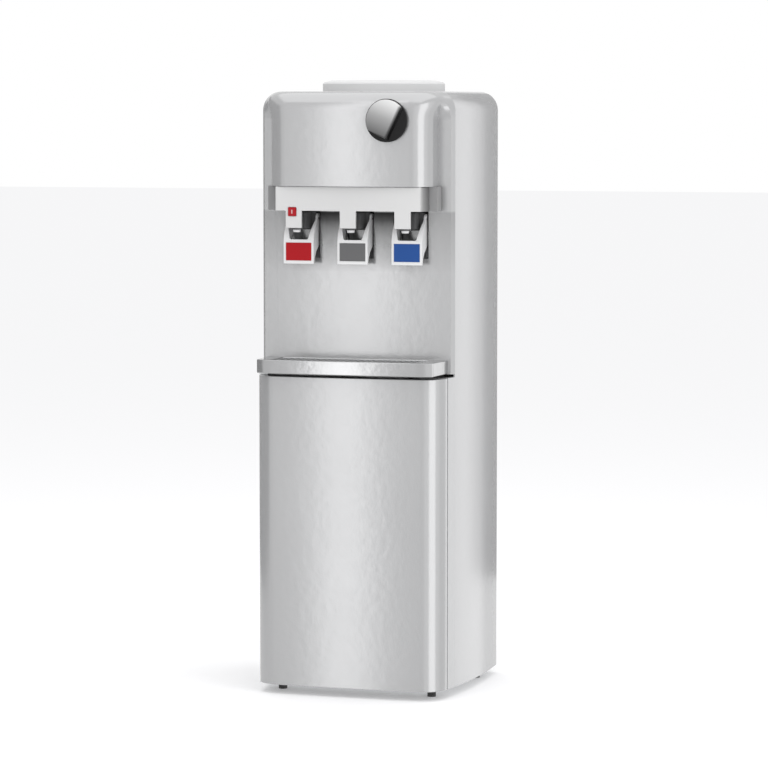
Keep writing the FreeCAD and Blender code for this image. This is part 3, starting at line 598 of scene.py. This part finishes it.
# shelf
shelf = {"low": 510.3, "high": 532, "tailX": 149, "tailY": -87.3, "tailBow": 4200, "backX": 147.9,
         "backY": -107.2, "endX": 144.5, "endY": -153.4, "x": 130, "y": -159.24, "bow": 2250, "trayX": 121,
         "trayFront": -157.5, "trayBack": -95, "floor": 514, "wellTop": 537, "edge": 1.4, "edgeSteps": 3}


def makeShelf(s):
    piece = solid("shelfPiece", "top", s["low"], s["high"], bothSides([
        (s["tailX"], s["tailY"], s["tailBow"], "left"), (s["backX"], s["backY"]), (s["endX"], s["endY"]),
        (s["x"], s["y"])], (s["bow"], "right")))
    cut(piece, solid("well", "top", s["floor"], s["wellTop"],
                     rectangle(-s["trayX"], s["trayX"], s["trayFront"], s["trayBack"])))
    softened(piece, s["edge"], s["edgeSteps"])
    finished(piece, "shelf", "housing", "housing_white", "shelf")


makeShelf(shelf)

# door
door = {"low": 15, "high": 505, "backX": 154.6, "backY": -107.2, "sideX": 153.6, "sideY": -114.2,
        "turnX": 119.9, "turnY": -144.9, "turn": 36, "bow": 2250, "wall": 2.5, "hollowY": -103.2,
        "arcTurn": 4, "edge": 1.2, "edgeSteps": 3}


def doorForm(d, name, inset, backY):
    # the door's outline, or the hollow that is inset from it
    return solid(name, "top", d["low"] + inset, d["high"] - inset, bothSides([
        (d["backX"] - inset, backY), (d["sideX"] - inset, d["sideY"]),
        (d["turnX"], d["turnY"] + inset, d["turn"] - inset, "right")], (d["bow"], "right")), d["arcTurn"])


def makeDoor(d):
    piece = cut(doorForm(d, "doorShell", 0, d["backY"]), doorForm(d, "hollow", d["wall"], d["hollowY"]))
    softened(piece, d["edge"], d["edgeSteps"])
    return finished(piece, "housing", "door", "housing_white", "door")


print("door", len(makeDoor(door).data.polygons))


def dressed(node, finish, edge, steps=2):
    # a smooth copy of a solid, with small rounds on its edges
    thing = newObject(node + "Piece", frame["nodes"][node].data.copy())
    softened(thing, edge, steps, 32)
    return finished(thing, finish, bodyOf[node], slotOf[node], node)


for kind, color in (("hot", "red"), ("normal", "grey"), ("cold", "blue")):
    dressed("lever_" + kind, "lever", 0.7, 3)
    dressed("insert_" + kind, color, 0)
    dressed("tap_body_" + kind, "tap", 0.4)
    dressed("spout_" + kind, "lever", 0.2)
dressed("child_lock_button", "button", 0.4)

# the plain bar on the child lock button
mark = {"low": 760.5, "high": 766.5, "left": -91.9, "right": -90.1, "front": -137.7, "back": -137.1}
finished(solid("buttonMark", "front", mark["front"], mark["back"],
               rectangle(mark["left"], mark["right"], mark["low"], mark["high"])),
         "pale", bodyOf["child_lock_button"], "button_red")

# finish, width of the edge rounds in millimetres, and their segments
otherPieces = {
    "knob": ("knobBase", 0.3, 2), "knob_cap": ("knobCap", 0.7, 3), "bottle_collar": ("collar", 0.4, 2),
    "bottle_seat": ("liner", 0.4, 2), "bottle_spike": ("liner", 0, 2), "drip_tray": ("tray", 0.5, 2),
    "back_panel": ("steel", 0.3, 1), "front_frame": ("housing", 0.6, 2), "compressor": ("black", 0.5, 2),
    "condenser": ("black", 0, 2),
}
for node, (finish, edge, steps) in otherPieces.items():
    dressed(node, finish, edge, steps)
print("pieces dressed")


def rowTree(name):
    # one unit, a box or an upright round, repeated along a line
    tree = bpy.data.node_groups.new(name, "GeometryNodeTree")
    kinds = {"Count": "Int", "Start": "Vector", "Step": "Vector", "Size": "Vector", "Turn": "Vector",
             "Round": "Bool", "Finish": "Material"}
    tree.interface.new_socket("Geometry", in_out="OUTPUT", socket_type="NodeSocketGeometry")
    for key, kind in kinds.items():
        tree.interface.new_socket(key, in_out="INPUT", socket_type="NodeSocket" + kind)

    def step(kind, **settings):
        made = tree.nodes.new("GeometryNode" + kind)
        for key, item in settings.items():
            setattr(made, key, item)
        return made

    inside, outside = tree.nodes.new("NodeGroupInput"), tree.nodes.new("NodeGroupOutput")
    line, box, rod = step("MeshLine", mode="OFFSET"), step("MeshCube"), step("MeshCylinder")
    pick, shape = step("Switch", input_type="GEOMETRY"), step("Transform")
    copies, real, paint = step("InstanceOnPoints"), step("RealizeInstances"), step("SetMaterial")
    for key, item in (("Vertices", 12), ("Radius", 0.5), ("Depth", 1)):   # a round one unit wide and long
        rod.inputs[key].default_value = item
    for source, output, target, slot in (
            (inside, "Count", line, "Count"), (inside, "Start", line, "Start Location"),
            (inside, "Step", line, "Offset"), (inside, "Round", pick, "Switch"),
            (box, "Mesh", pick, "False"), (rod, "Mesh", pick, "True"),
            (pick, "Output", shape, "Geometry"), (inside, "Size", shape, "Scale"),
            (line, "Mesh", copies, "Points"), (shape, "Geometry", copies, "Instance"),
            (inside, "Turn", copies, "Rotation"), (copies, "Instances", real, "Geometry"),
            (real, "Geometry", paint, "Geometry"), (inside, "Finish", paint, "Material"),
            (paint, "Geometry", outside, "Geometry")):
        tree.links.new(source.outputs[output], target.inputs[slot])
    return tree


rowGroup = rowTree("row")


def row(name, finish, count, start, step, size, turn=(0, 0, 0), rounded=True):
    # sizes and places in millimetres, the turn in degrees
    thing = emptyObject(name)
    made = thing.modifiers.new("row", "NODES")
    made.node_group = rowGroup
    given = {"Count": count, "Start": [v / 1000 for v in start], "Step": [v / 1000 for v in step],
             "Size": [v / 1000 for v in size], "Turn": [math.radians(v) for v in turn], "Round": rounded,
             "Finish": finishes[finish]}
    for item in rowGroup.interface.items_tree:
        if item.in_out == "INPUT":
            made[item.identifier] = given[item.name]
    return baked(thing)


# condenser wires
wires = {"count": 15, "half": 80.6, "y": 154.9, "low": 290, "high": 842, "thick": 1.6}


def makeWires(w):
    piece = row("wires", "black", w["count"], (-w["half"], w["y"], (w["low"] + w["high"]) / 2),
                (2 * w["half"] / (w["count"] - 1), 0, 0), (w["thick"], w["thick"], w["high"] - w["low"]))
    finished(piece, "black", "housing", slotOf["condenser_wires"], "condenser_wires")


makeWires(wires)

# screws of the back panel, a row at each side, with crossed slots
screws = {"x": 131.3, "headY": 160.9, "slotY": 161.25, "low": 72, "high": 893, "count": 6, "head": 5.6,
          "thick": 1.4, "slotLong": 3.6, "slotDeep": 0.8, "slotWide": 0.8, "slotTurns": (45, 135)}


def makeScrews(s):
    step = (0, 0, (s["high"] - s["low"]) / (s["count"] - 1))
    heads, slots = [], []
    for side in (-1, 1):
        heads.append(row("heads", "stainless", s["count"], (side * s["x"], s["headY"], s["low"]), step,
                         (s["head"], s["head"], s["thick"]), (90, 0, 0)))
    finished(joined("panelScrews", *heads), "stainless", "housing", "steel")
    for side in (-1, 1):
        for turn in s["slotTurns"]:
            slots.append(row("slots", "black", s["count"], (side * s["x"], s["slotY"], s["low"]), step,
                             (s["slotLong"], s["slotDeep"], s["slotWide"]), (0, turn, 0), False))
    finished(joined("screwSlots", *slots), "black", "housing", "black_paint")


makeScrews(screws)

# drip grille: a framed plate with bars across it, on two legs
grate = {"half": 118.2, "front": -154.7, "back": -97.8, "low": 528.4, "high": 530.6, "slots": 25, "pitch": 9,
         "slot": 4, "first": -112, "last": 108, "slotFront": -151, "slotBack": -101, "barDip": 0.2,
         "legX": 111, "legHalf": 2, "legFront": -130, "legBack": -120, "legLow": 516.4, "legHigh": 528.5}


def makeGrille(g):
    plate = solid("plate", "top", g["low"], g["high"],
                  rectangle(-g["half"], g["half"], g["front"], g["back"]))
    cut(plate, solid("window", "top", g["low"] - 2, g["high"] + 2,
                     rectangle(g["first"], g["last"], g["slotFront"], g["slotBack"])))
    start = (g["first"] + (g["slot"] + g["pitch"]) / 2, (g["slotFront"] + g["slotBack"]) / 2,
             (g["low"] + g["high"]) / 2)
    size = (g["pitch"] - g["slot"], g["slotBack"] - g["slotFront"] + 1, g["high"] - g["low"] - g["barDip"])
    bars = row("bars", "grille", g["slots"] - 1, start, (g["pitch"], 0, 0), size, rounded=False)
    legs = [solid("leg", "top", g["legLow"], g["legHigh"], rectangle(
        x - g["legHalf"], x + g["legHalf"], g["legFront"], g["legBack"])) for x in (-g["legX"], g["legX"])]
    finished(joined("grillePiece", plate, bars, *legs), "grille",
             bodyOf["drip_grille"], slotOf["drip_grille"], "drip_grille")


makeGrille(grate)

# feet, a pair at each end
feet = {"front": (124, -90), "rear": (142, 100), "wide": 14, "tall": 15}


def makeFeet(s):
    size = (s["wide"], s["wide"], s["tall"])
    pairs = [row("pair", "rubber", 2, (-x, y, s["tall"] / 2), (2 * x, 0, 0), size)
             for x, y in (s["front"], s["rear"])]
    finished(joined("feetPiece", *pairs), "rubber", "housing", slotOf["feet"], "feet")


makeFeet(feet)
print("rows ready")

# floor, with places in metres
ground = {"corners": [(-20, -12, 0), (20, -12, 0), (20, 30, 0), (-20, 30, 0)], "tone": (0.86, 0.86, 0.87, 1),
          "glow": 0.15}


def flat(name, corners, material):
    mesh = bpy.data.meshes.new(name)
    mesh.from_pydata(corners, [], [(0, 1, 2, 3)])
    mesh.materials.append(material)
    return newObject(name, mesh)


def floorFinish(g):
    f = Finish("floor")
    seen = f.out("LightPath", "Is Camera Ray")
    matte = f.out("BsdfDiffuse", 0, None, Color=g["tone"])
    glow = f.out("Emission", 0, None, Color=(1, 1, 1, 1), Strength=seen * g["glow"])
    return f.close(f.out("AddShader", 0, None, i0=matte, i1=glow))


floor = flat("floor", ground["corners"], floorFinish(ground))
floor.visible_glossy = False   # upright highlights then run down to the foot of the body

# white surroundings, a little dimmer for the light that falls on the body
studio = {"level": 0.9, "shown": 0.1}
world = bpy.data.worlds.new("studio")
scene.world = world
world.use_nodes = True
sky = Nodes(world.node_tree)
path = sky.node("LightPath")
camera, glass, mirror = [Link(sky.tree, path.outputs["Is %s Ray" % kind])
                         for kind in ("Camera", "Transmission", "Glossy")]
shown = camera.orMore(glass).orMore(mirror)
white = sky.out("Background", 0, None, Color=(1, 1, 1, 1), Strength=shown * studio["shown"] + studio["level"])
sky.node("OutputWorld", None, i0=white)

# upright lamps that face the body, in metres and watts
lamps = {
    "leftStrip": {"place": (-0.940, -3.000), "low": -1.2, "high": 4.6, "width": 0.38, "watts": 12},
    "rightStrip": {"place": (1.190, -0.876), "low": -1.4, "high": 1.6, "width": 0.8, "watts": 10},
    "rightWide": {"place": (1.190, -0.876), "low": -1.4, "high": 1.6, "width": 2.2, "watts": 5},
    "rearStrip": {"place": (0.480, 0.602), "low": -1.3, "high": 1.3, "width": 0.28, "watts": 1.4},
}
overhead = {"place": (0, -0.2, 2.6), "width": 3.0, "watts": 20}


def lampObject(name, place, width, height, watts):
    light = bpy.data.lights.new(name, "AREA")
    light.shape = "RECTANGLE"
    light.size = width
    light.size_y = height
    light.energy = watts
    lamp = newObject(name, light)
    lamp.location = place
    lamp.visible_camera = False
    return lamp


for name, lamp in lamps.items():
    middle, tall = (lamp["low"] + lamp["high"]) / 2, lamp["high"] - lamp["low"]
    thing = lampObject(name, (*lamp["place"], middle), lamp["width"], tall, lamp["watts"])
    towards = Vector((0, 0, thing.location.z)) - thing.location
    thing.rotation_euler = towards.to_track_quat("-Z", "Y").to_euler()

# grey cards, which only the gloss of the body shows
cards = {
    "rightCard": {"place": (0.30, 1.25), "width": 0.8, "tone": 0.45},
    "leftCard": {"place": (-1.3, 0.1), "width": 2.6, "tone": 0.45},
}
cardTall, cardLift = 1.5, 0.002
for name, card in cards.items():
    x, y = card["place"]
    across = Vector((y, -x, 0)).normalized() * card["width"] / 2
    foot, rise = Vector((x, y, cardLift)), Vector((0, 0, cardTall))
    f = Finish(name)
    matte = f.close(f.out("BsdfDiffuse", 0, None, Color=(card["tone"], card["tone"], card["tone"], 1)))
    piece = flat(name, [foot - across, foot + across, foot + across + rise, foot - across + rise], matte)
    piece.visible_camera = False
    piece.visible_shadow = False
    piece.visible_diffuse = False
lampObject("overhead", overhead["place"], overhead["width"], overhead["width"], overhead["watts"])

# camera: place in metres, turn and dip in degrees, lens and sensor in millimetres
view = {"place": (1.6038, -5.0634, 0.9298), "turn": 17.4, "dip": 4.796, "lens": 155.86, "sensor": 36,
        "far": 100}
lens = bpy.data.cameras.new("camera")
lens.lens = view["lens"]
lens.sensor_width = view["sensor"]
lens.clip_end = view["far"]
eye = newObject("camera", lens)
eye.location = view["place"]
eye.rotation_euler = (math.radians(90 - view["dip"]), 0, math.radians(view["turn"]))
scene.camera = eye
print("studio ready")
